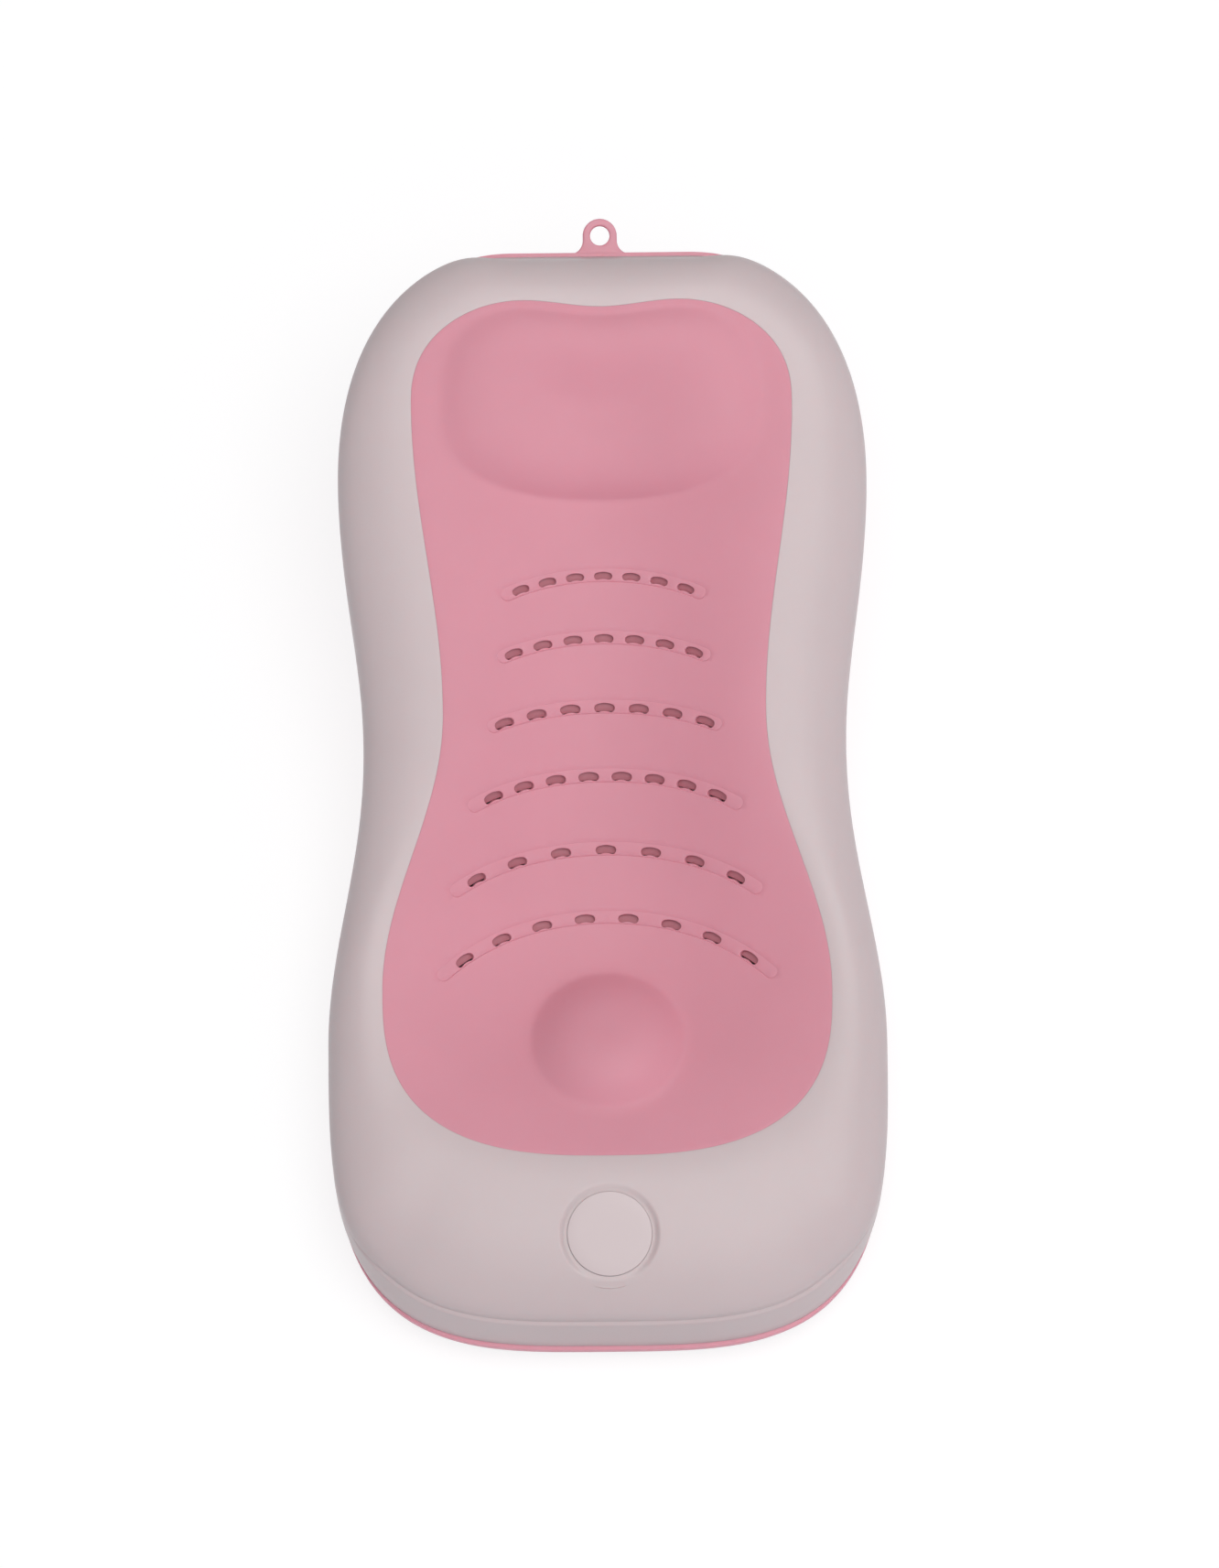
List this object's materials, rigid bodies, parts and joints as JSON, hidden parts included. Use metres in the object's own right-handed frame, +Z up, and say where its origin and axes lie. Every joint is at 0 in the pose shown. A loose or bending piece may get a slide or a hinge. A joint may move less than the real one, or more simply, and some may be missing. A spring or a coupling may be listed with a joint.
{
  "type": "infant bath support",
  "caption": "Reclined infant bath support: pink slotted soft pad with head pillow and crotch dome in a white rim, on a wedge base with a hanging loop.",
  "frame": {"origin": "middle of the footprint, on the plane that the rubber feet stand on", "axes": "+Z up, +Y along the seat from the foot end to the head end, +X across"},
  "size_m": [0.2854, 0.5742, 0.1621],
  "materials": {
    "white_plastic": "fine satin moulding",
    "badge_white": "fine satin moulding",
    "pink_soft_pad": "matte soft elastomer",
    "pink_deck": "satin moulding",
    "pink_plastic": "fine satin moulding",
    "screw_steel": "zinc plated",
    "foot_rubber": "matte"
  },
  "bodies": {
    "root": {"upper_shell": "white_plastic", "seat_pad": "pink_soft_pad", "seat_deck": "pink_deck", "base_casing": "pink_plastic", "badge_disc": "badge_white", "deck_screw_1": "screw_steel", "deck_screw_2": "screw_steel", "deck_screw_3": "screw_steel", "deck_screw_4": "screw_steel", "deck_screw_5": "screw_steel", "deck_screw_6": "screw_steel", "deck_screw_7": "screw_steel", "deck_screw_8": "screw_steel", "base_screw_1": "screw_steel", "base_screw_2": "screw_steel", "base_screw_3": "screw_steel", "base_screw_4": "screw_steel", "base_screw_5": "screw_steel", "base_screw_6": "screw_steel", "base_screw_7": "screw_steel", "base_screw_8": "screw_steel", "foot_pad_1": "foot_rubber", "foot_pad_2": "foot_rubber", "foot_pad_3": "foot_rubber", "foot_pad_4": "foot_rubber"}
  },
  "joints": []
}
